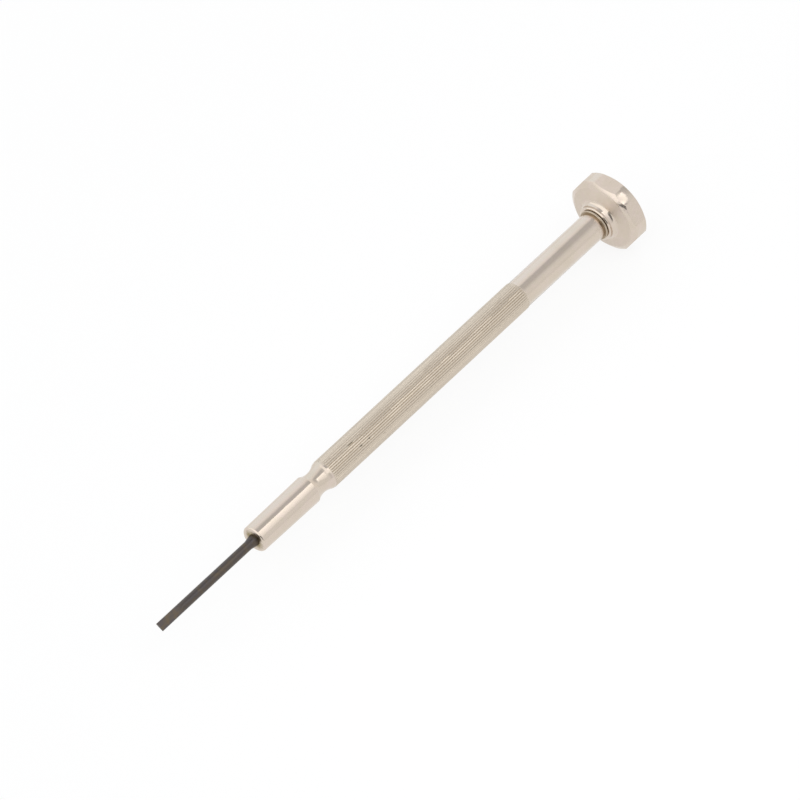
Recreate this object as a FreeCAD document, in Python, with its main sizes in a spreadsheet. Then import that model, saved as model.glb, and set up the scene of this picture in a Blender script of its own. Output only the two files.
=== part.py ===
import FreeCAD, Part
import math
import os

import Sketcher

# Watchmaker's screwdriver with a freely turning hexagonal head.
# Millimetres. +X runs along the tool from the blade's tip to the head, +Z is up, and one
# flat of the head faces down. The origin is the middle of the blade's square-cut end.

SIZES = {
    # blade: hardened steel rod, ground to a chisel tip, with a thicker shank
    "blade_reach": 17.2,  # tip to the handle's nose face
    "blade_diameter": 1.2,
    "blade_flare_length": 1.1,  # cone from rod to shank, ends at the nose face
    "blade_roll": 30.0,  # degrees that the ground flats are turned about the axis
    "shank_diameter": 1.6,
    "shank_depth": 10.0,  # pressed length inside the nose
    "tip_thickness": 0.34,
    "tip_root_thickness": 0.62,  # between the flats where the run-out starts
    "tip_flat_length": 3.8,
    "tip_runout_length": 0.38,
    # handle: one turned piece of plated brass
    "nose_diameter": 3.64,  # at the front face
    "nose_rear_diameter": 3.85,
    "nose_length": 9.9,
    "nose_edge": 0.3,
    "neck_length": 3.1,
    "neck_diameter": 3.12,
    "neck_curve_radius": 2.9,
    "grip_diameter": 4.0,  # over the crests of the knurl
    "grip_length": 37.3,
    "grip_edge": 0.2,
    "knurl_count": 42,
    "knurl_depth": 0.08,
    "knurl_angle": 90.0,  # degrees between the two sides of a groove
    "barrel_diameter": 3.83,
    "barrel_length": 14.95,
    "barrel_edge_length": 0.45,
    "barrel_edge_depth": 0.1,
    "drill_point_angle": 118.0,
    # swivel head: turned from round bar, then milled with flats
    "head_diameter": 10.5,
    "head_sides": 6,
    "head_across_flats": 9.9,
    "head_thickness": 2.5,  # underside at the bevel to the top rim
    "boss_diameter": 4.94,
    "boss_height": 1.57,  # boss lip to the underside at the bevel
    "boss_edge": 0.12,
    "boss_land": 0.05,  # straight wall between the edge and the concave blend
    "underside_rise": 0.65,  # how far the underside slopes back from the boss to the bevel
    "bevel_width": 0.48,  # radial, at both ends of the head
    "bevel_angle": 30.0,
    "dish_diameter": 8.6,
    "dish_depth": 0.6,
    # pivot pin: shouldered rivet that holds the head on the handle
    "pin_flange_diameter": 3.4,
    "pin_flange_thickness": 0.45,
    "pin_flange_edge": 0.1,
    "pin_journal_diameter": 2.0,
    "pin_tail_diameter": 1.6,
    "pin_tail_depth": 6.0,
    "pin_seat_wall": 2.8,  # metal of the head between boss lip and flange pocket
    # thrust washer: brass ring between the handle's end and the boss
    "washer_diameter": 4.3,
    "washer_thickness": 0.28,
    # clearances
    "running_clearance": 0.03,  # radial, round the pin's journal
    "end_clearance": 0.05,  # axial, at each end of the head's bore
    "pocket_clearance": 0.25,  # radial, round the pin's flange
    "overcut": 1.0,  # how far a cutting profile reaches past the metal
}

document = FreeCAD.newDocument("watchmaker_screwdriver")
sheet = document.addObject("Spreadsheet::Sheet", "Sizes")
for row, (alias, value) in enumerate(SIZES.items(), start=1):
    sheet.set("A%d" % row, alias)
    sheet.set("B%d" % row, str(value))
    sheet.setAlias("B%d" % row, alias)
document.recompute()

# Stations along the tool and radii, each an expression of the cells above.
NOSE_FACE = "Sizes.blade_reach"
NECK_START = NOSE_FACE + " + Sizes.nose_length"
GRIP_START = NECK_START + " + Sizes.neck_length"
BARREL_START = GRIP_START + " + Sizes.grip_length"
HANDLE_END = BARREL_START + " + Sizes.barrel_length"
WASHER_END = HANDLE_END + " + Sizes.washer_thickness"
BOSS_LIP = WASHER_END + " + Sizes.end_clearance"
UNDERSIDE = BOSS_LIP + " + Sizes.boss_height"
HEAD_TOP = UNDERSIDE + " + Sizes.head_thickness"
POCKET_FLOOR = BOSS_LIP + " + Sizes.pin_seat_wall"
FLANGE_START = POCKET_FLOOR + " + Sizes.end_clearance"
FLANGE_END = FLANGE_START + " + Sizes.pin_flange_thickness"

SHANK_RADIUS = "Sizes.shank_diameter / 2"
TAIL_RADIUS = "Sizes.pin_tail_diameter / 2"
JOURNAL_RADIUS = "Sizes.pin_journal_diameter / 2"
BORE_RADIUS = JOURNAL_RADIUS + " + Sizes.running_clearance"
FLANGE_RADIUS = "Sizes.pin_flange_diameter / 2"
POCKET_RADIUS = FLANGE_RADIUS + " + Sizes.pocket_clearance"


def new_body(label):
    body = document.addObject("PartDesign::Body", label)
    body.Label = label
    return body


def origin_feature(body, role):
    return next(item for item in body.Origin.OriginFeatures if item.Role == role)


def new_sketch(body, name, role):
    sketch = body.newObject("Sketcher::SketchObject", name)
    sketch.AttachmentSupport = (origin_feature(body, role), [""])
    sketch.MapMode = "FlatFace"
    return sketch


def tie_point(sketch, curve, end, across, along):
    """Ties one point of a curve to two expressions, measured from the sketch's origin."""
    for kind, expression in (("DistanceX", across), ("DistanceY", along)):
        index = sketch.addConstraint(Sketcher.Constraint(kind, -1, 1, curve, end, 1.0))
        sketch.setExpression("Constraints[%d]" % index, expression)


def outline_sketch(body, name, role, corners):
    """Closed outline of straight lines, its corners given as pairs of expressions."""
    sketch = new_sketch(body, name, role)
    count = len(corners)
    turn = 2 * math.pi / count
    start = [FreeCAD.Vector(math.cos(i * turn), math.sin(i * turn), 0) for i in range(count)]
    for i in range(count):
        sketch.addGeometry(Part.LineSegment(start[i], start[(i + 1) % count]), False)
    for i in range(count):
        sketch.addConstraint(Sketcher.Constraint("Coincident", i, 2, (i + 1) % count, 1))
    for i, (across, along) in enumerate(corners):
        tie_point(sketch, i, 1, across, along)
    return sketch


def circle_sketch(body, name, role, across, along, radius):
    sketch = new_sketch(body, name, role)
    sketch.addGeometry(Part.Circle(FreeCAD.Vector(1, 1, 0), FreeCAD.Vector(0, 0, 1), 0.5), False)
    tie_point(sketch, 0, 3, across, along)
    index = sketch.addConstraint(Sketcher.Constraint("Radius", 0, 0.5))
    sketch.setExpression("Constraints[%d]" % index, radius)
    return sketch


def turn_feature(body, kind, name, sketch):
    """Revolution or Groove of a sketch about the tool's axis."""
    before = body.Shape.Volume if kind == "Groove" else 0.0
    feature = body.newObject("PartDesign::" + kind, name)
    feature.Profile = sketch
    feature.ReferenceAxis = (sketch, ["H_Axis"])
    feature.Angle = 360
    document.recompute()
    check_cut(feature, before)
    return feature


def check_cut(feature, before):
    """A cut has to take metal away; a first solid has before = 0 and has to add some."""
    after = feature.Shape.Volume
    if before and not after < before - 1e-6:
        raise RuntimeError(feature.Name + " takes nothing away")
    if not after > 0:
        raise RuntimeError(feature.Name + " leaves nothing")


def cut_and_repeat(body, name, sketch, length, count):
    """Cuts a sketch along the tool from its own plane and repeats the cut round the axis."""
    before = body.Shape.Volume
    cut = body.newObject("PartDesign::Pocket", name + "_cut")
    cut.Profile = sketch
    cut.Reversed = True
    cut.setExpression("Length", length)
    document.recompute()
    check_cut(cut, before)
    before = cut.Shape.Volume
    pattern = body.newObject("PartDesign::PolarPattern", name + "_pattern")
    pattern.Originals = [cut]
    pattern.Axis = (origin_feature(body, "X_Axis"), [""])
    pattern.Angle = 360
    pattern.setExpression("Occurrences", count)
    body.Tip = pattern
    document.recompute()
    check_cut(pattern, before)


def build_blade():
    body = new_body("blade")
    rod = "Sizes.blade_diameter / 2"
    flare_start = NOSE_FACE + " - Sizes.blade_flare_length"
    shank_end = NOSE_FACE + " + Sizes.shank_depth"
    profile = outline_sketch(body, "blade_profile", "XY_Plane", [
        ("0", "0"),
        ("0", rod),
        (flare_start, rod),
        (NOSE_FACE, SHANK_RADIUS),
        (shank_end, SHANK_RADIUS),
        (shank_end, "0"),
    ])
    turn_feature(body, "Revolution", "blade_blank", profile)

    # Each ground flat tapers to the tip and leaves the rod in a short steep run-out.
    runout_start = "Sizes.tip_flat_length - Sizes.tip_runout_length"
    outside = rod + " + Sizes.overcut"
    ramp = "(%s - Sizes.tip_root_thickness / 2) / Sizes.tip_runout_length" % rod
    ramp_end = "Sizes.tip_flat_length + Sizes.overcut / (%s)" % ramp
    before = body.Shape.Volume
    for side, sign in (("upper", ""), ("lower", "-")):
        flat = outline_sketch(body, side + "_flat_profile", "XZ_Plane", [
            ("-Sizes.overcut", sign + "Sizes.tip_thickness / 2"),
            ("0", sign + "Sizes.tip_thickness / 2"),
            (runout_start, sign + "Sizes.tip_root_thickness / 2"),
            (ramp_end, sign + "(" + outside + ")"),
            ("-Sizes.overcut", sign + "(" + outside + ")"),
        ])
        pocket = body.newObject("PartDesign::Pocket", side + "_flat")
        pocket.Profile = flat
        pocket.Type = "ThroughAll"
        pocket.SideType = "Symmetric"
        document.recompute()
        check_cut(pocket, before)
        before = pocket.Shape.Volume
    body.setExpression("Placement.Rotation.Angle", "Sizes.blade_roll")
    body.Placement = FreeCAD.Placement(
        FreeCAD.Vector(0, 0, 0), FreeCAD.Rotation(FreeCAD.Vector(1, 0, 0), sheet.blade_roll))
    return body


def build_handle():
    body = new_body("handle")
    nose = "Sizes.nose_diameter / 2"
    nose_rear = "Sizes.nose_rear_diameter / 2"
    crest = "Sizes.grip_diameter / 2"
    barrel = "Sizes.barrel_diameter / 2"
    edge = "Sizes.grip_edge"
    point = " / tan(Sizes.drill_point_angle / 2)"
    blade_bore_end = NOSE_FACE + " + Sizes.shank_depth"
    tail_bore_end = HANDLE_END + " - Sizes.pin_tail_depth"
    profile = outline_sketch(body, "handle_profile", "XY_Plane", [
        (NOSE_FACE, SHANK_RADIUS),
        (NOSE_FACE, nose + " - Sizes.nose_edge"),
        (NOSE_FACE + " + Sizes.nose_edge", nose),
        (NECK_START, nose_rear),
        (GRIP_START, nose_rear),
        (GRIP_START + " + " + edge, crest),
        (BARREL_START + " - " + edge, crest),
        (BARREL_START, barrel),
        (HANDLE_END + " - Sizes.barrel_edge_length", barrel),
        (HANDLE_END, barrel + " - Sizes.barrel_edge_depth"),
        (HANDLE_END, TAIL_RADIUS),
        (tail_bore_end, TAIL_RADIUS),
        (tail_bore_end + " - " + TAIL_RADIUS + point, "0"),
        (blade_bore_end + " + " + SHANK_RADIUS + point, "0"),
        (blade_bore_end, SHANK_RADIUS),
    ])
    turn_feature(body, "Revolution", "handle_blank", profile)

    neck = circle_sketch(
        body, "neck_profile", "XY_Plane",
        NECK_START + " + Sizes.neck_length / 2",
        "Sizes.neck_diameter / 2 + Sizes.neck_curve_radius",
        "Sizes.neck_curve_radius")
    turn_feature(body, "Groove", "neck_groove", neck)

    # Straight knurl: one groove with sloping sides, repeated round the grip.
    root = crest + " - Sizes.knurl_depth"
    rise = "(Sizes.knurl_depth + Sizes.overcut)"
    half_width = rise + " * tan(Sizes.knurl_angle / 2)"
    tooth = outline_sketch(body, "knurl_profile", "YZ_Plane", [
        ("0", root),
        (half_width, root + " + " + rise),
        ("-" + half_width, root + " + " + rise),
    ])
    tooth.setExpression("AttachmentOffset.Base.z", GRIP_START)
    cut_and_repeat(body, "knurl", tooth, "Sizes.grip_length", "Sizes.knurl_count")
    return body


def build_thrust_washer():
    body = new_body("thrust_washer")
    outer = "Sizes.washer_diameter / 2"
    profile = outline_sketch(body, "washer_profile", "XY_Plane", [
        (HANDLE_END, BORE_RADIUS),
        (HANDLE_END, outer),
        (WASHER_END, outer),
        (WASHER_END, BORE_RADIUS),
    ])
    turn_feature(body, "Revolution", "washer_ring", profile)
    return body


def build_pivot_pin():
    body = new_body("pivot_pin")
    tail_start = HANDLE_END + " - Sizes.pin_tail_depth"
    edge = "Sizes.pin_flange_edge"
    profile = outline_sketch(body, "pin_profile", "XY_Plane", [
        (tail_start, "0"),
        (tail_start, TAIL_RADIUS),
        (HANDLE_END, TAIL_RADIUS),
        (HANDLE_END, JOURNAL_RADIUS),
        (FLANGE_START, JOURNAL_RADIUS),
        (FLANGE_START, FLANGE_RADIUS),
        (FLANGE_END + " - " + edge, FLANGE_RADIUS),
        (FLANGE_END, FLANGE_RADIUS + " - " + edge),
        (FLANGE_END, "0"),
    ])
    turn_feature(body, "Revolution", "pin_turned", profile)
    return body


def build_swivel_head():
    body = new_body("swivel_head")
    boss = "Sizes.boss_diameter / 2"
    outer = "Sizes.head_diameter / 2"
    inner = outer + " - Sizes.bevel_width"
    bevel = "Sizes.bevel_width * tan(Sizes.bevel_angle)"
    profile = outline_sketch(body, "head_profile", "XY_Plane", [
        (BOSS_LIP, BORE_RADIUS),
        (BOSS_LIP, boss + " - Sizes.boss_edge"),
        (BOSS_LIP + " + Sizes.boss_edge", boss),
        (UNDERSIDE + " - Sizes.underside_rise", boss),
        (UNDERSIDE, inner),
        (UNDERSIDE + " + " + bevel, outer),
        (HEAD_TOP + " - " + bevel, outer),
        (HEAD_TOP, inner),
        (HEAD_TOP, POCKET_RADIUS),
        (POCKET_FLOOR, POCKET_RADIUS),
        (POCKET_FLOOR, BORE_RADIUS),
    ])
    turn_feature(body, "Revolution", "head_blank", profile)

    # Concave blend between the boss and the underside.
    before = body.Shape.Volume
    turned = body.Tip
    corner = inner_corner(turned.Shape, sheet.boss_diameter / 2)
    blend = body.newObject("PartDesign::Fillet", "boss_blend")
    blend.Base = (turned, [corner])
    wall = "Sizes.boss_height - Sizes.underside_rise - Sizes.boss_edge - Sizes.boss_land"
    blend.setExpression("Radius", wall)
    document.recompute()
    if not blend.Shape.Volume > before:
        raise RuntimeError("boss_blend adds nothing")

    # Finger dish: a shallow hollow cut by a large ball.
    dish_half = "(Sizes.dish_diameter / 2)"
    ball = "(%s ^ 2 + Sizes.dish_depth ^ 2) / (2 * Sizes.dish_depth)" % dish_half
    before = body.Shape.Volume
    dish = body.newObject("PartDesign::SubtractiveSphere", "finger_dish")
    dish.AttachmentSupport = (origin_feature(body, "YZ_Plane"), [""])
    dish.MapMode = "FlatFace"
    dish.setExpression("Radius", ball)
    dish.setExpression("AttachmentOffset.Base.z", HEAD_TOP + " - Sizes.dish_depth + " + ball)
    document.recompute()
    check_cut(dish, before)

    # Milled flats: one slab outside the lowest flat, repeated round the head.
    flat = "-Sizes.head_across_flats / 2"
    reach = outer + " + Sizes.overcut"
    slab = outline_sketch(body, "flat_profile", "YZ_Plane", [
        (reach, flat),
        ("-(" + reach + ")", flat),
        ("-(" + reach + ")", "-(" + reach + ")"),
        (reach, "-(" + reach + ")"),
    ])
    slab.setExpression("AttachmentOffset.Base.z", UNDERSIDE)
    cut_and_repeat(body, "flat", slab, "Sizes.head_thickness", "Sizes.head_sides")
    return body


def inner_corner(shape, radius):
    """Name of the circular edge of this radius that lies furthest along the tool."""
    rings = []
    for number, edge in enumerate(shape.Edges, start=1):
        if isinstance(edge.Curve, Part.Circle) and abs(edge.Curve.Radius - radius) < 1e-6:
            rings.append((edge.Curve.Center.x, "Edge%d" % number))
    return max(rings)[1]


parts = [
    build_handle(),
    build_blade(),
    build_thrust_washer(),
    build_pivot_pin(),
    build_swivel_head(),
]
document.recompute()

for item in document.Objects:
    if "Invalid" in item.State or "Error" in item.State:
        raise RuntimeError("%s failed: %s" % (item.Name, item.State))
for body in parts:
    if body.Shape.isNull() or not body.Shape.isValid() or len(body.Shape.Solids) != 1:
        raise RuntimeError(body.Label + " is not one valid solid")

os.makedirs("parts", exist_ok=True)
for body in parts:
    body.Shape.exportStep("parts/%s.step" % body.Label)
    print("%-14s %8.3f mm3  %s" % (body.Label, body.Shape.Volume, body.Shape.BoundBox))
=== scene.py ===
import math
from collections import namedtuple

import bpy
from mathutils import Matrix, Vector, noise


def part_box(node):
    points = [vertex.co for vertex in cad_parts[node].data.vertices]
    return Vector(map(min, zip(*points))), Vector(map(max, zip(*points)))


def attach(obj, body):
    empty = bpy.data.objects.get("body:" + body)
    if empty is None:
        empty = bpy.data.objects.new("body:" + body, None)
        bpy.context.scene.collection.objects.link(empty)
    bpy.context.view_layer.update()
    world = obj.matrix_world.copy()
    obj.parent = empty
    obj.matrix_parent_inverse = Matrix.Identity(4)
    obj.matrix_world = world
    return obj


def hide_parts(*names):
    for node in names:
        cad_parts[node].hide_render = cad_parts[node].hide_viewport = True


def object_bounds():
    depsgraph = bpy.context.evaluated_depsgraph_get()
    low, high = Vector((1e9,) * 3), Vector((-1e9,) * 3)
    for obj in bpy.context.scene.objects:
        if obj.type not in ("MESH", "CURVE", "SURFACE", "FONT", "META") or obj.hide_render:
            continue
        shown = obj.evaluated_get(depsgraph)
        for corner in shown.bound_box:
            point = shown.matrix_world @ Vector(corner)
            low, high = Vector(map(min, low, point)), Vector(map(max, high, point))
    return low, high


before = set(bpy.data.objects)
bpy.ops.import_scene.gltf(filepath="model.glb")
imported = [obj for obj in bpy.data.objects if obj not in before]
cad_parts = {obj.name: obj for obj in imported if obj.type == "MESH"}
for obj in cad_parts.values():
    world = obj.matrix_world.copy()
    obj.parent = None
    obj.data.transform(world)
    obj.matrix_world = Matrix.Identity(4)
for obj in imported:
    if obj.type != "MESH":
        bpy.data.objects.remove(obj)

MM = 0.001
cad_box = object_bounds()

# ---------------------------------------------------------------- sizes
# Places along the tool come from the CAD nodes, and the steps between them are in metres.
NOSE_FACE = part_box("handle")[0].x
HANDLE_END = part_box("handle")[1].x
SHANK_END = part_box("blade")[1].x
WASHER_START, WASHER_END = (corner.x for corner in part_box("thrust_washer"))
BOSS_LIP, HEAD_TOP = (corner.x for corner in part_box("swivel_head"))
PIN_START, PIN_END = (corner.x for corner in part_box("pivot_pin"))

AXIS_GAP = 0.02  # an end face stops at this share of its radius, so that no face collapses

SHANK_RADIUS = 0.8 * MM
ROD_RADIUS = 0.6 * MM
FLARE_LENGTH = 1.1 * MM
BLADE_ROLL = math.radians(30)
BLADE_FLAT_STEPS = 8
BLADE_ROUND_STEPS = 20
TIP_HALF = 0.17 * MM  # half the blade's thickness at its end
TIP_ROOT_HALF = 0.31 * MM  # and where the flats start to run out
TIP_FLAT = 3.8 * MM
TIP_RUNOUT = 0.38 * MM
TIP_STEPS = 8
RUNOUT_STEPS = 12
ROD_STEPS = 12

NOSE_RADIUS = 1.82 * MM
NOSE_REAR_RADIUS = 1.925 * MM
NOSE_LENGTH = 9.9 * MM
NOSE_EDGE = 0.3 * MM
NOSE_EDGE_STEPS = 6
NECK_LENGTH = 3.1 * MM
NECK_RADIUS = 1.56 * MM
NECK_CURVE = 2.9 * MM
NECK_STEPS = 64
NECK_RIPPLE = 0.0025 * MM  # the form tool's chatter, on the half next to the grip
NECK_RIPPLE_PITCH = 0.27 * MM
GRIP_RADIUS = 2.0 * MM
GRIP_LENGTH = 37.3 * MM
GRIP_EDGE = 0.2 * MM
GRIP_STEPS = 96
KNURL_TEETH = 42
KNURL_DEPTH = 0.07 * MM
# Section of a groove: place across it, as a share of half its width, and share of its depth.
KNURL_GROOVE = ((-1.2, 0.0), (-0.85, 0.15), (-0.12, 1.0), (0.12, 1.0), (0.85, 0.15), (1.2, 0.0))
KNURL_UNEVEN = 0.009 * MM
KNURL_UNEVEN_LENGTH = 3 * MM
KNURL_UNEVEN_ROUND = 7  # how fast the unevenness changes round the tool
DENT_DEPTH = 0.13 * MM
# Dents in the grip's crests: place along the tool, turn round it, length, width as a turn.
DENTS = (
    (34.85 * MM, math.radians(11.0), 0.8 * MM, 0.03),
    (35.8 * MM, math.radians(45.3), 0.12 * MM, 0.06),
    (37.3 * MM, math.radians(45.3), 0.12 * MM, 0.05),
)
BARREL_RADIUS = 1.915 * MM
BARREL_EDGE_LENGTH = 0.45 * MM
BARREL_EDGE_DROP = 0.1 * MM

TAIL_RADIUS = 0.8 * MM
JOURNAL_RADIUS = 1.0 * MM
BORE_RADIUS = 1.03 * MM
FLANGE_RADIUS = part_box("pivot_pin")[1].y
FLANGE_THICKNESS = 0.45 * MM
FLANGE_EDGE = 0.1 * MM
POCKET_RADIUS = FLANGE_RADIUS + 0.25 * MM
POCKET_FLOOR = PIN_END - FLANGE_THICKNESS - 0.05 * MM
WASHER_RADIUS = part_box("thrust_washer")[1].y
WASHER_EDGE = 0.05 * MM
LATHE_STEPS = 96

HEAD_SIDES = 6
HEAD_RADIUS = 5.246 * MM  # just inside the CAD's head
HEAD_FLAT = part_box("swivel_head")[1].z
HEAD_THICKNESS = 2.565 * MM  # from the top to where the underside meets the bevel
BOSS_RADIUS = 2.47 * MM
BOSS_EDGE = 0.12 * MM
BOSS_LAND = 0.05 * MM
UNDERSIDE_RISE = 0.65 * MM
BEVEL_WIDTH = 0.72 * MM  # next to the boss
TOP_BEVEL_WIDTH = 0.48 * MM
BEVEL_SLOPE = math.tan(math.radians(33))
BEVEL_STEPS = 4
BEVEL_CROWN = 0.025  # height of the bevel's crown, as a share of its width
CROWN_ALONG = 0.87  # the way in which the crown bulges: along the tool, and out from its axis
CROWN_OUT = 0.5
HEAD_FLAT_TURN = math.acos(HEAD_FLAT / HEAD_RADIUS)  # from a flat's middle to its end
FLAT_STEPS = 14
LAND_STEPS = 6  # on the round land between two flats
WORN_CORNER = math.radians(30)  # the corner whose round land is worn back at the bevel
WORN_DEPTH = 0.22 * MM
WORN_LENGTH = 1.2 * MM
WORN_FADE = 1.2  # power by which the wear fades along the land
WORN_STEPS = 5
BLEND_STEPS = 12
DISH_RADIUS = 4.3 * MM
DISH_DEPTH = 0.6 * MM
DISH_STEPS = 12
HEAD_EDGE = 0.03 * MM


# ---------------------------------------------------------------- meshes
SHARP = math.radians(25)  # faces that meet at more than this have a sharp edge
# Zones of a surface, as places in its list of materials.
TURNED, KNURLED, STAINED = 0, 1, 2
MILLED, FACED = 1, 2


def sweep_rows(name, rows, angles, zones=None, wrap=True):
    """Joins rows of points, each a closed ring round the tool, into one surface of quads.
    The UV map holds the way along the profile in mm, and the turn round the tool."""
    count = len(angles)
    gaps = len(rows) if wrap else len(rows) - 1
    way = [0.0]
    for near, far in zip(rows, rows[1:] + rows[:1]):
        way.append(way[-1] + (Vector(far[0]) - Vector(near[0])).length / MM)
    turns = [angle / (2 * math.pi) for angle in angles] + [1 + angles[0] / (2 * math.pi)]
    faces = []
    corners = []
    for j in range(gaps):
        near, far = j * count, (j + 1) % len(rows) * count
        for i in range(count):
            k = (i + 1) % count
            faces.append((near + i, near + k, far + k, far + i))
            for step, column in ((j, i), (j, i + 1), (j + 1, i + 1), (j + 1, i)):
                corners += (way[step], turns[column])
    mesh = bpy.data.meshes.new(name)
    mesh.from_pydata([point for row in rows for point in row], [], faces)
    mesh.uv_layers.new(name="wrap").data.foreach_set("uv", corners)
    if zones:
        places = [zone for zone in zones[:gaps] for i in range(count)]
        mesh.polygons.foreach_set("material_index", places)
    return mesh


def ring(x, radii, angles):
    return [(x, -r * math.sin(a), r * math.cos(a)) for r, a in zip(radii, angles)]


def lathe(name, profile, angles):
    return sweep_rows(name, [ring(x, [r] * len(angles), angles) for x, r in profile], angles)


def even_angles(count):
    return [2 * math.pi * i / count for i in range(count)]


def arc_points(centre, radius, start, end, count):
    """Points (x, r) of an arc in the profile's plane; angles from the tool's axis."""
    turns = [start + (end - start) * i / count for i in range(count + 1)]
    return [(centre[0] + radius * math.cos(a), centre[1] + radius * math.sin(a)) for a in turns]


def finish_piece(name, mesh, materials, body, node, edge=0.0):
    """Puts a piece in the scene in place of its CAD node. An edge is its bevels' width."""
    piece = bpy.data.objects.new(name, mesh)
    bpy.context.scene.collection.objects.link(piece)
    for material in materials:
        mesh.materials.append(material)
    mesh.polygons.foreach_set("use_smooth", [True] * len(mesh.polygons))
    mesh.set_sharp_from_angle(angle=SHARP)
    if edge:
        bevel = piece.modifiers.new("edges", "BEVEL")
        bevel.width = edge
        bevel.segments = 3
        bevel.limit_method = "ANGLE"
        bevel.angle_limit = SHARP
        bevel.harden_normals = True
    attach(piece, body)
    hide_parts(node)


def neck_profile(start, end):
    """Concave neck between the nose and the grip, a circular arc in section, rippled."""
    middle = (start + end) / 2
    centre = NECK_RADIUS + NECK_CURVE
    half = math.acos((centre - NOSE_REAR_RADIUS) / NECK_CURVE)
    down = -math.pi / 2
    arc = arc_points((middle, centre), NECK_CURVE, down - half, down + half, NECK_STEPS)
    rippled = []
    for x, radius in arc:
        share = min(max((x - middle) / (end - middle), 0), 1)
        wave = math.sin(2 * math.pi * (x - middle) / NECK_RIPPLE_PITCH)
        rippled.append((x, radius - NECK_RIPPLE * share * (1 + wave)))
    return rippled


def knurl_columns():
    """Angles round the grip, with the share of the knurl's depth at each."""
    pitch = 2 * math.pi / KNURL_TEETH
    half = KNURL_DEPTH / GRIP_RADIUS  # half a groove's width, with its sides at 90 degrees
    return [(tooth * pitch + offset * half, depth)
            for tooth in range(KNURL_TEETH) for offset, depth in KNURL_GROOVE]


def knurl_wear(x, angle):
    """Metal missing from the knurl: uneven rolling, and the dents in the crests."""
    spot = Vector((x / KNURL_UNEVEN_LENGTH,
                   KNURL_UNEVEN_ROUND * math.cos(angle), KNURL_UNEVEN_ROUND * math.sin(angle)))
    missing = KNURL_UNEVEN * (1 + noise.noise(spot))
    for place, turn, length, width in DENTS:
        along = (x - place) / length
        across = (angle - turn) / width
        missing += DENT_DEPTH * math.exp(-along * along - across * across)
    return missing


def handle_mesh():
    neck_start = NOSE_FACE + NOSE_LENGTH
    grip_start = neck_start + NECK_LENGTH
    barrel_start = grip_start + GRIP_LENGTH
    crest_start, crest_end = grip_start + GRIP_EDGE, barrel_start - GRIP_EDGE
    nose_corner = (NOSE_FACE + NOSE_EDGE, NOSE_RADIUS - NOSE_EDGE)
    front = [
        (NOSE_FACE, SHANK_RADIUS),
        *arc_points(nose_corner, NOSE_EDGE, math.pi, math.pi / 2, NOSE_EDGE_STEPS),
        *neck_profile(neck_start, grip_start),
        (grip_start, NOSE_REAR_RADIUS),
        (grip_start + GRIP_EDGE * 0.5, (NOSE_REAR_RADIUS + GRIP_RADIUS) / 2),
    ]
    grip = [crest_start + (crest_end - crest_start) * i / GRIP_STEPS
            for i in range(GRIP_STEPS + 1)]
    rear = [
        (barrel_start - GRIP_EDGE * 0.5, (GRIP_RADIUS + BARREL_RADIUS) / 2),
        (barrel_start, BARREL_RADIUS),
        (HANDLE_END - BARREL_EDGE_LENGTH, BARREL_RADIUS),
        (HANDLE_END - BARREL_EDGE_LENGTH * 0.4, BARREL_RADIUS - BARREL_EDGE_DROP * 0.4),
        (HANDLE_END, BARREL_RADIUS - BARREL_EDGE_DROP),
        (HANDLE_END, TAIL_RADIUS),
        (PIN_START, TAIL_RADIUS),
        (PIN_START, TAIL_RADIUS * AXIS_GAP),
        (SHANK_END, TAIL_RADIUS * AXIS_GAP),
        (SHANK_END, SHANK_RADIUS),
    ]
    columns = knurl_columns()
    angles = [angle for angle, depth in columns]
    rows = [ring(x, [r] * len(angles), angles) for x, r in front]
    for x in grip:
        radii = [GRIP_RADIUS - KNURL_DEPTH * depth - knurl_wear(x, angle)
                 for angle, depth in columns]
        rows.append(ring(x, radii, angles))
    rows += [ring(x, [r] * len(angles), angles) for x, r in rear]
    zones = [STAINED] + [TURNED] * (len(front) - 2) + [KNURLED] * (len(grip) + 1)
    zones += [TURNED] * len(rear)
    return sweep_rows("handle_turned", rows, angles, zones)


def blade_half_thickness(x):
    """Half the metal between the ground flats at a place along the blade."""
    ramp = TIP_FLAT - TIP_RUNOUT
    if x <= ramp:
        return TIP_HALF + (TIP_ROOT_HALF - TIP_HALF) * x / ramp
    return TIP_ROOT_HALF + (ROD_RADIUS - TIP_ROOT_HALF) * (x - ramp) / TIP_RUNOUT


def blade_row(x, radius):
    """A round section with two flats; both flats shrink to a line where the rod is whole."""
    half = min(blade_half_thickness(x), radius)
    edge = math.acos(half / radius)
    section = []
    for side in (1, -1):
        for i in range(BLADE_FLAT_STEPS):
            across = radius * math.sin(edge) * (2 * i / BLADE_FLAT_STEPS - 1) * side
            section.append((across, side * half))
        for i in range(BLADE_ROUND_STEPS):
            turn = edge + (math.pi - 2 * edge) * i / BLADE_ROUND_STEPS
            if side < 0:
                turn += math.pi
            section.append((radius * math.sin(turn), radius * math.cos(turn)))
    roll = Matrix.Rotation(BLADE_ROLL, 3, "X")
    return [tuple(roll @ Vector((x, y, z))) for y, z in section]


def blade_mesh():
    ramp = TIP_FLAT - TIP_RUNOUT
    flare = NOSE_FACE - FLARE_LENGTH
    stations = [ramp * i / TIP_STEPS for i in range(TIP_STEPS + 1)]
    stations += [ramp + TIP_RUNOUT * i / RUNOUT_STEPS for i in range(1, RUNOUT_STEPS + 1)]
    stations += [TIP_FLAT + (flare - TIP_FLAT) * i / ROD_STEPS for i in range(1, ROD_STEPS + 1)]
    rows = [blade_row(0, ROD_RADIUS * AXIS_GAP)]
    rows += [blade_row(x, ROD_RADIUS) for x in stations]
    rows.append(blade_row(NOSE_FACE, SHANK_RADIUS))
    rows.append(blade_row(SHANK_END, SHANK_RADIUS))
    rows.append(blade_row(SHANK_END, SHANK_RADIUS * AXIS_GAP))
    return sweep_rows("blade_ground", rows, even_angles(len(rows[0])), wrap=False)


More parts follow.
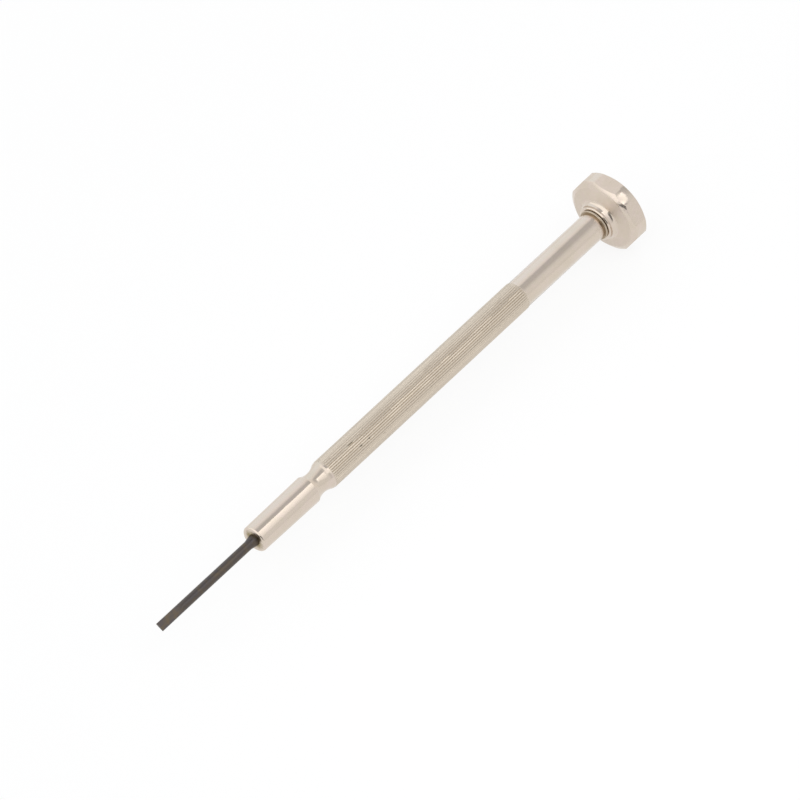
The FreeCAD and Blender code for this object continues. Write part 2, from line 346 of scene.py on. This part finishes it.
def head_columns():
    """Angles round the head and from the middle of the nearest flat, with a column at each
    end of every flat."""
    sector = 2 * math.pi / HEAD_SIDES
    land = sector / 2 - HEAD_FLAT_TURN
    offsets = [-sector / 2 + land * i / LAND_STEPS for i in range(LAND_STEPS)]
    offsets += [-HEAD_FLAT_TURN + 2 * HEAD_FLAT_TURN * i / FLAT_STEPS
                for i in range(FLAT_STEPS + 1)]
    offsets += [HEAD_FLAT_TURN + land * i / LAND_STEPS for i in range(1, LAND_STEPS)]
    return [(side * sector + offset, offset) for side in range(HEAD_SIDES) for offset in offsets]


def head_side_rows(columns, base, sign, width, wear):
    """Rows from a bevel's inner edge to the straight side: a slightly crowned bevel, then
    the side. Wear is the depth to which one corner is worn back, which fades along the side.
    The sign is the way to the middle of the head."""
    inner = HEAD_RADIUS - width
    fading = [1 - i / WORN_STEPS for i in range(WORN_STEPS + 1)] if wear else [1]
    rows = [[] for i in range(BEVEL_STEPS + len(fading))]
    for angle, offset in columns:
        reach = min(HEAD_RADIUS, HEAD_FLAT / math.cos(offset))
        from_corner = abs(angle - WORN_CORNER) / (math.pi / HEAD_SIDES - HEAD_FLAT_TURN)
        worn = wear * max(1 - from_corner ** 2, 0)
        out = reach - worn - inner
        rise = out * BEVEL_SLOPE
        crown = BEVEL_CROWN * math.hypot(out, rise)
        profile = []
        for i in range(BEVEL_STEPS):
            way = i / BEVEL_STEPS
            bulge = crown * 4 * way * (1 - way)
            profile.append((rise * way - bulge * CROWN_ALONG,
                            inner + out * way + bulge * CROWN_OUT))
        for share in fading:
            profile.append((rise + WORN_LENGTH * (1 - share), reach - worn * share ** WORN_FADE))
        for row, (x, radius) in zip(rows, profile):
            row.append((base + sign * x, -radius * math.sin(angle), radius * math.cos(angle)))
    return rows


def head_mesh():
    columns = head_columns()
    angles = [angle for angle, offset in columns]
    underside = HEAD_TOP - HEAD_THICKNESS
    inner = HEAD_RADIUS - BEVEL_WIDTH
    blend = underside - BOSS_LIP - UNDERSIDE_RISE - BOSS_EDGE - BOSS_LAND
    slope = math.atan(UNDERSIDE_RISE / (inner - BOSS_RADIUS))
    wall_end = underside - UNDERSIDE_RISE - blend * math.tan((math.pi / 2 - slope) / 2)
    ball = (DISH_RADIUS ** 2 + DISH_DEPTH ** 2) / (2 * DISH_DEPTH)
    dish_centre = HEAD_TOP - DISH_DEPTH + ball

    def plain(profile):
        return [ring(x, [r] * len(angles), angles) for x, r in profile]

    dish = []
    for i in range(DISH_STEPS + 1):
        radius = DISH_RADIUS + (POCKET_RADIUS - DISH_RADIUS) * i / DISH_STEPS
        dish.append((dish_centre - math.sqrt(ball ** 2 - radius ** 2), radius))
    boss = plain([
        (BOSS_LIP, BORE_RADIUS),
        (BOSS_LIP, BOSS_RADIUS - BOSS_EDGE),
        (BOSS_LIP + BOSS_EDGE, BOSS_RADIUS),
        *arc_points((wall_end, BOSS_RADIUS + blend), blend, -math.pi / 2, -slope, BLEND_STEPS),
    ])
    low_side = head_side_rows(columns, underside, 1, BEVEL_WIDTH, WORN_DEPTH)
    high_side = head_side_rows(columns, HEAD_TOP, -1, TOP_BEVEL_WIDTH, 0)[::-1]
    top = plain([
        *dish,
        (POCKET_FLOOR, POCKET_RADIUS),
        (POCKET_FLOOR, BORE_RADIUS),
    ])
    sides = len(low_side) + len(high_side)
    zones = [TURNED] * (len(boss) - 1) + [FACED] + [MILLED] * (sides - 1)
    zones += [TURNED] * (len(top) + 1)
    return sweep_rows("head_hexagon", boss + low_side + high_side + top, angles, zones)


def washer_mesh():
    return lathe("washer_ring", [
        (WASHER_START, BORE_RADIUS),
        (WASHER_START, WASHER_RADIUS - WASHER_EDGE),
        (WASHER_START + WASHER_EDGE, WASHER_RADIUS),
        (WASHER_END - WASHER_EDGE, WASHER_RADIUS),
        (WASHER_END, WASHER_RADIUS - WASHER_EDGE),
        (WASHER_END, BORE_RADIUS),
    ], even_angles(LATHE_STEPS))


def pin_mesh():
    flange = PIN_END - FLANGE_THICKNESS
    centre = JOURNAL_RADIUS * AXIS_GAP
    return lathe("pin_turned", [
        (PIN_START, centre),
        (PIN_START, TAIL_RADIUS),
        (HANDLE_END, TAIL_RADIUS),
        (HANDLE_END, JOURNAL_RADIUS),
        (flange, JOURNAL_RADIUS),
        (flange, FLANGE_RADIUS),
        (PIN_END - FLANGE_EDGE, FLANGE_RADIUS),
        (PIN_END - FLANGE_EDGE * 0.3, FLANGE_RADIUS - FLANGE_EDGE * 0.3),
        (PIN_END, FLANGE_RADIUS - FLANGE_EDGE),
        (PIN_END, centre),
    ], even_angles(LATHE_STEPS))


# ---------------------------------------------------------------- materials
NICKEL = (0.665, 0.583, 0.49)
NICKEL_PINK = (0.68, 0.583, 0.512)
NICKEL_STAINED = (0.635, 0.555, 0.455)
NOSE_STAIN = (0.3, 0.24, 0.13)
# Darker colour in the knurl's grooves: dirt and painted shade.
GROOVE_DIRT_AND_PAINTED_SHADE = (0.56, 0.49, 0.4)
# Dark colour in the grip's dents: dirt and painted shade.
DENT_DIRT_AND_PAINTED_SHADE = (0.22, 0.19, 0.15)
BLACK_STEEL = (0.088, 0.08, 0.084)
BLACK_STEEL_WARM = (0.125, 0.104, 0.084)
RUST_SPOTS = (0.14, 0.11, 0.075)
STEEL = (0.5, 0.485, 0.46)
STEEL_PALE = (0.6, 0.59, 0.575)
BRASS = (0.33, 0.26, 0.18)
BRASS_PALE = (0.42, 0.34, 0.24)
# Painted shade on the washer next to the head, where the gap to the head is in shadow.
PAINTED_GAP_SHADE = (0.15, 0.11, 0.07)
# Painted highlight along the washer's outer edge.
PAINTED_RIM_HIGHLIGHT = (0.6, 0.52, 0.42)
NOISE_LOW, NOISE_HIGH = 0.3, 0.7  # nearly all of a noise pattern lies between these


ToolAxes = namedtuple("ToolAxes", "place along radius rings")


def new_material(name, color, metallic=1.0, roughness=0.3):
    material = bpy.data.materials.new(name)
    material.use_nodes = True
    tree = material.node_tree
    surface = tree.nodes["Principled BSDF"]
    surface.inputs["Base Color"].default_value = (*color, 1)
    surface.inputs["Metallic"].default_value = metallic
    surface.inputs["Roughness"].default_value = roughness
    return material, tree, surface


def tool_axes(tree):
    """The place in metres, the way along the tool, the distance from its axis, and the last
    two as one vector, in which a pattern turns into rings round the tool."""
    place = tree.nodes.new("ShaderNodeTexCoord").outputs["Object"]
    split = tree.nodes.new("ShaderNodeSeparateXYZ")
    tree.links.new(place, split.inputs[0])
    flat = tree.nodes.new("ShaderNodeCombineXYZ")
    tree.links.new(split.outputs["Y"], flat.inputs["Y"])
    tree.links.new(split.outputs["Z"], flat.inputs["Z"])
    length = tree.nodes.new("ShaderNodeVectorMath")
    length.operation = "LENGTH"
    tree.links.new(flat.outputs[0], length.inputs[0])
    radius = length.outputs["Value"]
    rings = tree.nodes.new("ShaderNodeCombineXYZ")
    tree.links.new(split.outputs["X"], rings.inputs["X"])
    tree.links.new(radius, rings.inputs["Y"])
    return ToolAxes(place, split.outputs["X"], radius, rings.outputs[0])


def grain(tree, vector, per_mm, detail=3.0, stretch=(1, 1, 1)):
    """Noise with about this many marks in each mm, fewer where the stretch is small."""
    mapping = tree.nodes.new("ShaderNodeMapping")
    mapping.inputs["Scale"].default_value = stretch
    noise_node = tree.nodes.new("ShaderNodeTexNoise")
    noise_node.inputs["Scale"].default_value = per_mm / MM
    noise_node.inputs["Detail"].default_value = detail
    tree.links.new(vector, mapping.inputs["Vector"])
    tree.links.new(mapping.outputs["Vector"], noise_node.inputs["Vector"])
    return noise_node.outputs["Fac"]


def remap(tree, value, low, high, new_low, new_high):
    node = tree.nodes.new("ShaderNodeMapRange")
    node.inputs["From Min"].default_value = low
    node.inputs["From Max"].default_value = high
    node.inputs["To Min"].default_value = new_low
    node.inputs["To Max"].default_value = new_high
    tree.links.new(value, node.inputs["Value"])
    return node.outputs["Result"]


def mix_colors(tree, factor, first, second):
    """Each colour is a triple or another node's output."""
    node = tree.nodes.new("ShaderNodeMix")
    node.data_type = "RGBA"
    tree.links.new(factor, node.inputs["Factor"])
    for name, color in (("A", first), ("B", second)):
        if isinstance(color, tuple):
            node.inputs[name].default_value = (*color, 1)
        else:
            tree.links.new(color, node.inputs[name])
    return node.outputs["Result"]


def mix_by_noise(tree, pattern, first, second):
    return mix_colors(tree, remap(tree, pattern, NOISE_LOW, NOISE_HIGH, 0, 1), first, second)


def vary_roughness(tree, surface, pattern, smooth, rough):
    value = remap(tree, pattern, NOISE_LOW, NOISE_HIGH, smooth, rough)
    tree.links.new(value, surface.inputs["Roughness"])


def add_scaled(tree, first, second, share):
    """The first value plus a share of the second."""
    node = tree.nodes.new("ShaderNodeMath")
    node.operation = "MULTIPLY_ADD"
    node.inputs[1].default_value = share
    tree.links.new(second, node.inputs[0])
    tree.links.new(first, node.inputs[2])
    return node.outputs[0]


def add_bump(tree, surface, height, distance):
    bump = tree.nodes.new("ShaderNodeBump")
    bump.inputs["Distance"].default_value = distance
    tree.links.new(height, bump.inputs["Height"])
    tree.links.new(bump.outputs["Normal"], surface.inputs["Normal"])


def brush_along_profile(tree, surface, anisotropy):
    """Turning lines run round the tool, so they draw highlights out along its profile."""
    surface.inputs["Anisotropic"].default_value = anisotropy
    tangent = tree.nodes.new("ShaderNodeTangent")
    tangent.direction_type = "UV_MAP"
    tangent.uv_map = "wrap"
    tree.links.new(tangent.outputs["Tangent"], surface.inputs["Tangent"])


def nickel_color(tree, place):
    patches = grain(tree, place, 1.6, 4)
    stains = grain(tree, place, 0.3, 3)
    plain = mix_colors(tree, remap(tree, patches, 0.35, 0.65, 0, 1), NICKEL, NICKEL_PINK)
    return mix_colors(tree, remap(tree, stains, 0.45, 0.75, 0, 0.9), plain, NICKEL_STAINED)


def turned_nickel(name, smooth, rough, mottle_depth, anisotropy):
    """Plated brass, a little uneven, with the lathe's fine lines still in it."""
    material, tree, surface = new_material(name, NICKEL)
    axes = tool_axes(tree)
    tree.links.new(nickel_color(tree, axes.place), surface.inputs["Base Color"])
    vary_roughness(tree, surface, grain(tree, axes.place, 2.5), smooth, rough)
    mottle = grain(tree, axes.place, 2.5, 2)
    height = add_scaled(tree, mottle, grain(tree, axes.rings, 9, 2), 0.4)
    add_bump(tree, surface, height, mottle_depth)
    brush_along_profile(tree, surface, anisotropy)
    return material


def stained_nickel(name):
    """The nose's face, where lubricant and rust off the shank have stained the plating."""
    material, tree, surface = new_material(name, NICKEL)
    axes = tool_axes(tree)
    patches = remap(tree, grain(tree, axes.place, 0.9, 3), 0.4, 0.6, 0, 0.4 * MM)
    ragged = add_scaled(tree, axes.radius, patches, -1)
    clean = remap(tree, ragged, SHANK_RADIUS - 0.1 * MM, SHANK_RADIUS + 0.45 * MM, 0, 1)
    color = mix_colors(tree, clean, NOSE_STAIN, nickel_color(tree, axes.place))
    tree.links.new(color, surface.inputs["Base Color"])
    add_bump(tree, surface, grain(tree, axes.rings, 9, 2), 0.003 * MM)
    return material


def milled_nickel(name):
    """The head's flats and bevels: plated over fine milling marks, a little orange-peeled."""
    material, tree, surface = new_material(name, NICKEL)
    axes = tool_axes(tree)
    tree.links.new(nickel_color(tree, axes.place), surface.inputs["Base Color"])
    vary_roughness(tree, surface, grain(tree, axes.place, 3), 0.1, 0.2)
    add_bump(tree, surface, grain(tree, axes.place, 1.5, 2), 0.016 * MM)
    return material


def knurled_nickel(name):
    """The grip: the grooves and the dents in the crests are darker, dirt and painted shade, and
    the crests are rubbed bright in streaks.
    """
    material, tree, surface = new_material(name, NICKEL)
    axes = tool_axes(tree)
    streaks = grain(tree, axes.place, 5, 3, (0.06, 1, 1))
    crest = mix_by_noise(tree, streaks, NICKEL_STAINED, NICKEL)
    # Darker in the grooves: dirt and painted shade.
    clear_of_grooves = remap(tree, axes.radius,
                             GRIP_RADIUS - 0.06 * MM, GRIP_RADIUS - 0.012 * MM, 0, 1)
    color = mix_colors(tree, clear_of_grooves, GROOVE_DIRT_AND_PAINTED_SHADE, crest)
    # Dark in the dents: dirt and painted shade.
    clear_of_dents = remap(tree, axes.radius,
                           GRIP_RADIUS - 0.1 * MM, GRIP_RADIUS - 0.085 * MM, 0, 1)
    color = mix_colors(tree, clear_of_dents, DENT_DIRT_AND_PAINTED_SHADE, color)
    tree.links.new(color, surface.inputs["Base Color"])
    vary_roughness(tree, surface, streaks, 0.28, 0.42)
    add_bump(tree, surface, streaks, 0.008 * MM)
    return material


def blackened_steel(name):
    """The blade: drawing lines along it, and a few spots of rust."""
    material, tree, surface = new_material(name, BLACK_STEEL)
    axes = tool_axes(tree)
    streaks = grain(tree, axes.place, 3, 4, (0.05, 1, 1))
    spots = remap(tree, grain(tree, axes.place, 1.2, 4), 0.5, 0.7, 0, 0.8)
    drawn = mix_colors(tree, remap(tree, streaks, 0.35, 0.65, 0, 1),
                       BLACK_STEEL, BLACK_STEEL_WARM)
    color = mix_colors(tree, spots, drawn, RUST_SPOTS)
    tree.links.new(color, surface.inputs["Base Color"])
    vary_roughness(tree, surface, streaks, 0.3, 0.45)
    add_bump(tree, surface, streaks, 0.006 * MM)
    return material


def bright_steel(name):
    """The pin, with the rings that turning leaves."""
    material, tree, surface = new_material(name, STEEL)
    axes = tool_axes(tree)
    haze = grain(tree, axes.place, 2)
    tree.links.new(mix_by_noise(tree, haze, STEEL, STEEL_PALE), surface.inputs["Base Color"])
    vary_roughness(tree, surface, haze, 0.15, 0.28)
    add_bump(tree, surface, grain(tree, axes.rings, 7, 2), 0.005 * MM)
    brush_along_profile(tree, surface, 0.5)
    return material


def tarnished_brass(name):
    """The washer: lighter at its outer edge, a painted highlight, and darker next to the head,
    painted shade of the gap there.
    """
    material, tree, surface = new_material(name, BRASS)
    axes = tool_axes(tree)
    patches = grain(tree, axes.place, 2)
    metal = mix_by_noise(tree, patches, BRASS, BRASS_PALE)
    # Painted shade: darker towards the head, in the gap's shadow.
    gap_shade = remap(tree, axes.along, WASHER_START + 0.12 * MM, WASHER_END, 0, 1)
    color = mix_colors(tree, gap_shade, metal, PAINTED_GAP_SHADE)
    # Painted highlight: lighter at the outer edge.
    rim_highlight = remap(tree, axes.radius,
                WASHER_RADIUS - 0.1 * MM, WASHER_RADIUS - 0.02 * MM, 0, 0.8)
    color = mix_colors(tree, rim_highlight, color, PAINTED_RIM_HIGHLIGHT)
    tree.links.new(color, surface.inputs["Base Color"])
    vary_roughness(tree, surface, patches, 0.3, 0.5)
    return material


# ---------------------------------------------------------------- camera
# A long lens looks at the tool from above the blade's side, so that the head is furthest away.
VIEW_DISTANCE = 796 * MM
LENS = 292.5
SENSOR = 36.0
TOOL_RECEDES = math.radians(29.2)  # angle of the tool's axis away from the picture plane
TOOL_CLIMBS = math.radians(42.8)  # angle of the tool's axis above the picture's horizontal
TOOL_ROLL = math.radians(30.5)  # from +Z towards -Y, the side of the tool that faces the camera
AIM_ALONG_TOOL = 45.1 * MM
AIM_BELOW_TOOL = 0.43 * MM
ALONG = Vector((1, 0, 0))
FACING = Vector((0, -math.sin(TOOL_ROLL), math.cos(TOOL_ROLL)))
ACROSS = ALONG.cross(FACING)


def make_camera():
    on_picture = math.cos(TOOL_RECEDES) * ALONG + math.sin(TOOL_RECEDES) * FACING
    to_viewer = math.cos(TOOL_RECEDES) * FACING - math.sin(TOOL_RECEDES) * ALONG
    right = math.cos(TOOL_CLIMBS) * on_picture + math.sin(TOOL_CLIMBS) * ACROSS
    up = math.sin(TOOL_CLIMBS) * on_picture - math.cos(TOOL_CLIMBS) * ACROSS
    place = AIM_ALONG_TOOL * ALONG - AIM_BELOW_TOOL * ACROSS + VIEW_DISTANCE * to_viewer

    data = bpy.data.cameras.new("camera")
    data.lens = LENS
    data.sensor_width = SENSOR
    data.clip_start = 0.01
    data.clip_end = 20.0
    camera = bpy.data.objects.new("camera", data)
    bpy.context.scene.collection.objects.link(camera)
    turn = Matrix((right, up, to_viewer)).transposed().to_4x4()
    camera.matrix_world = Matrix.Translation(place) @ turn
    bpy.context.scene.camera = camera


# ---------------------------------------------------------------- studio
# Brightness round the tool, by angle from straight up towards -Y, in degrees: for what lies
# towards the head and straight above, for what lies above the tip, and for what lies past it.
# The bands are set so that the metal shows the photo's light and dark lines.
HEAD_END_BANDS = (
    (-180, (1.0, 0.98, 0.96)),
    (-100, (1.06, 1.11, 1.14)),
    (-60, (1.06, 1.11, 1.16)),
    (-34, (1.06, 1.06, 1.08)),
    (-24, (0.92, 0.91, 0.93)),
    (-14, (0.64, 0.65, 0.67)),
    (20, (0.66, 0.66, 0.67)),
    (38, (0.86, 0.87, 0.88)),
    (60, (0.95, 0.95, 0.95)),
    (95, (0.9, 0.9, 0.9)),
    (130, (1.0, 0.98, 0.96)),
    (180, (1.0, 0.98, 0.96)),
)
MIDDLE_BANDS = (
    (-180, (1.0, 0.98, 0.96)),
    (-110, (1.2, 1.2, 1.2)),
    (-80, (1.4, 1.4, 1.4)),
    (38, (1.4, 1.4, 1.4)),
    (50, (0.78, 0.78, 0.78)),
    (100, (0.8, 0.8, 0.8)),
    (125, (1.0, 0.98, 0.96)),
    (180, (1.0, 0.98, 0.96)),
)
TIP_END_BANDS = (
    (-180, (1.0, 0.98, 0.96)),
    (-90, (1.0, 1.0, 1.0)),
    (-60, (1.3, 1.3, 1.3)),
    (-40, (1.45, 1.45, 1.45)),
    (30, (1.45, 1.45, 1.45)),
    (44, (0.2, 0.2, 0.2)),
    (105, (0.2, 0.2, 0.2)),
    (130, (0.8, 0.8, 0.8)),
    (180, (1.0, 0.98, 0.96)),
)
# The world's X at which a set of bands starts to show and is all that shows.
MIDDLE_X = (-0.2, -0.38)
TIP_END_X = (-0.5, -0.62)
BEYOND_HEAD_X = (0.82, 0.95)
BEYOND_HEAD = (1.02, 1.0, 0.98)

FLOOR_MIDDLE = 0.045  # along the tool
FLOOR_REACH = 0.6
FLOOR_GAP = 0.02 * MM  # under the tool, so that the head's flat isn't in the floor's plane
FLOOR_COLOR = (0.95, 0.95, 0.95)
FLOOR_GLOW = 0.85  # share of plain white in what the camera and the metal see

# The softbox's corners: place along the tool and across it, over the side that faces the
# camera. It is brightest on its +Y side, and brighter again in a strip at the head's end.
SOFTBOX_HEIGHT = 90 * MM
SOFTBOX_CORNERS = ((0.118, -0.040), (0.118, 0.020), (0.010, 0.085), (0.010, -0.032))
SOFTBOX_SIDES = (1.6, 0.9)
SOFTBOX_SIDE_FADE = (0, 0.8)
SOFTBOX_ENDS = (1.4, 1)
SOFTBOX_END_FADE = (0.1, 0.22)


def turn_ramp(tree, share, bands):
    """A colour ramp of bands. The share goes from 0 at -180 degrees to 1 at 180."""
    ramp = tree.nodes.new("ShaderNodeValToRGB")
    stops = ramp.color_ramp.elements
    stops.remove(stops[1])
    for index, (degrees, color) in enumerate(bands):
        spot = (degrees + 180) / 360
        stop = stops[0] if index == 0 else stops.new(spot)
        stop.position = spot
        stop.color = (*color, 1)
    tree.links.new(share, ramp.inputs[0])
    return ramp.outputs["Color"]


def make_studio():
    """A world of soft bands, which lights the tool and shows in it. The camera sees white."""
    world = bpy.data.worlds.new("studio")
    bpy.context.scene.world = world
    world.use_nodes = True
    tree = world.node_tree
    place = tree.nodes.new("ShaderNodeTexCoord")
    axes = tree.nodes.new("ShaderNodeSeparateXYZ")
    tree.links.new(place.outputs["Generated"], axes.inputs[0])
    minus_y = tree.nodes.new("ShaderNodeMath")
    minus_y.operation = "MULTIPLY"
    minus_y.inputs[1].default_value = -1
    tree.links.new(axes.outputs["Y"], minus_y.inputs[0])
    turn = tree.nodes.new("ShaderNodeMath")
    turn.operation = "ARCTAN2"
    tree.links.new(minus_y.outputs[0], turn.inputs[0])
    tree.links.new(axes.outputs["Z"], turn.inputs[1])
    share = remap(tree, turn.outputs[0], -math.pi, math.pi, 0, 1)
    shade = turn_ramp(tree, share, HEAD_END_BANDS)
    for bands, reach in ((MIDDLE_BANDS, MIDDLE_X), (TIP_END_BANDS, TIP_END_X)):
        reached = remap(tree, axes.outputs["X"], *reach, 0, 1)
        shade = mix_colors(tree, reached, shade, turn_ramp(tree, share, bands))
    beyond_head = remap(tree, axes.outputs["X"], *BEYOND_HEAD_X, 0, 1)
    shade = mix_colors(tree, beyond_head, shade, BEYOND_HEAD)
    around = tree.nodes["Background"]
    tree.links.new(shade, around.inputs["Color"])
    white = tree.nodes.new("ShaderNodeBackground")
    white.inputs["Color"].default_value = (1, 1, 1, 1)
    path = tree.nodes.new("ShaderNodeLightPath")
    mix = tree.nodes.new("ShaderNodeMixShader")
    tree.links.new(path.outputs["Is Camera Ray"], mix.inputs[0])
    tree.links.new(around.outputs[0], mix.inputs[1])
    tree.links.new(white.outputs[0], mix.inputs[2])
    tree.links.new(mix.outputs[0], tree.nodes["World Output"].inputs["Surface"])


def make_floor():
    """White table. Camera and metal see it nearly plain, with a trace of the shadow."""
    mesh = bpy.data.meshes.new("floor")
    low = cad_box[0].z - FLOOR_GAP
    mesh.from_pydata([(FLOOR_MIDDLE + sx * FLOOR_REACH, sy * FLOOR_REACH, low)
                      for sx, sy in ((-1, -1), (1, -1), (1, 1), (-1, 1))], [], [(0, 1, 2, 3)])
    floor = bpy.data.objects.new("floor", mesh)
    bpy.context.scene.collection.objects.link(floor)
    material, tree, surface = new_material("white_table", FLOOR_COLOR,
                                           metallic=0.0, roughness=0.9)
    glow = tree.nodes.new("ShaderNodeEmission")
    glow.inputs["Color"].default_value = (1, 1, 1, 1)
    path = tree.nodes.new("ShaderNodeLightPath")
    seen = tree.nodes.new("ShaderNodeMath")
    seen.operation = "MAXIMUM"
    tree.links.new(path.outputs["Is Camera Ray"], seen.inputs[0])
    tree.links.new(path.outputs["Is Glossy Ray"], seen.inputs[1])
    share = tree.nodes.new("ShaderNodeMath")
    share.operation = "MULTIPLY"
    share.inputs[1].default_value = FLOOR_GLOW
    tree.links.new(seen.outputs[0], share.inputs[0])
    mix = tree.nodes.new("ShaderNodeMixShader")
    tree.links.new(share.outputs[0], mix.inputs[0])
    tree.links.new(surface.outputs[0], mix.inputs[1])
    tree.links.new(glow.outputs[0], mix.inputs[2])
    tree.links.new(mix.outputs[0], tree.nodes["Material Output"].inputs["Surface"])
    mesh.materials.append(material)


def make_softbox():
    """One softbox over the tool, which the camera doesn't see."""
    corners = [x * ALONG + y * ACROSS + SOFTBOX_HEIGHT * FACING for x, y in SOFTBOX_CORNERS]
    mesh = bpy.data.meshes.new("softbox")
    mesh.from_pydata([tuple(corner) for corner in corners], [], [(0, 1, 2, 3)])
    spread = (0, 0, 0, 1, 1, 1, 1, 0)  # U from the head's end, V from the +Y side
    mesh.uv_layers.new(name="spread").data.foreach_set("uv", spread)
    softbox = bpy.data.objects.new("softbox", mesh)
    bpy.context.scene.collection.objects.link(softbox)
    softbox.visible_camera = False
    softbox.visible_shadow = False
    material = bpy.data.materials.new("softbox")
    material.use_nodes = True
    tree = material.node_tree
    tree.nodes.remove(tree.nodes["Principled BSDF"])
    glow = tree.nodes.new("ShaderNodeEmission")
    spot = tree.nodes.new("ShaderNodeUVMap")
    spot.uv_map = "spread"
    split = tree.nodes.new("ShaderNodeSeparateXYZ")
    tree.links.new(spot.outputs["UV"], split.inputs[0])
    side = remap(tree, split.outputs["Y"], *SOFTBOX_SIDE_FADE, *SOFTBOX_SIDES)
    end = remap(tree, split.outputs["X"], *SOFTBOX_END_FADE, *SOFTBOX_ENDS)
    strength = tree.nodes.new("ShaderNodeMath")
    strength.operation = "MULTIPLY"
    tree.links.new(side, strength.inputs[0])
    tree.links.new(end, strength.inputs[1])
    tree.links.new(strength.outputs[0], glow.inputs["Strength"])
    tree.links.new(glow.outputs[0], tree.nodes["Material Output"].inputs["Surface"])
    mesh.materials.append(material)


nickel_plain = turned_nickel("nickel_turned", 0.1, 0.17, 0.008 * MM, 0.6)
nickel_faced = turned_nickel("nickel_faced", 0.38, 0.48, 0.006 * MM, 0.2)
nickel_flats = milled_nickel("nickel_milled")
nickel_grip = knurled_nickel("nickel_knurled")
nickel_nose = stained_nickel("nickel_stained")

finish_piece("handle_turned", handle_mesh(), [nickel_plain, nickel_grip, nickel_nose],
             "handle_body", "handle")
finish_piece("blade_ground", blade_mesh(), [blackened_steel("black_steel")],
             "handle_body", "blade")
finish_piece("washer_ring", washer_mesh(), [tarnished_brass("brown_brass")],
             "handle_body", "thrust_washer")
finish_piece("pin_turned", pin_mesh(), [bright_steel("bright_steel")],
             "handle_body", "pivot_pin")
finish_piece("head_hexagon", head_mesh(), [nickel_plain, nickel_flats, nickel_faced],
             "head", "swivel_head", HEAD_EDGE)

make_camera()
make_studio()
make_floor()
make_softbox()
bpy.context.scene.view_settings.view_transform = "Standard"
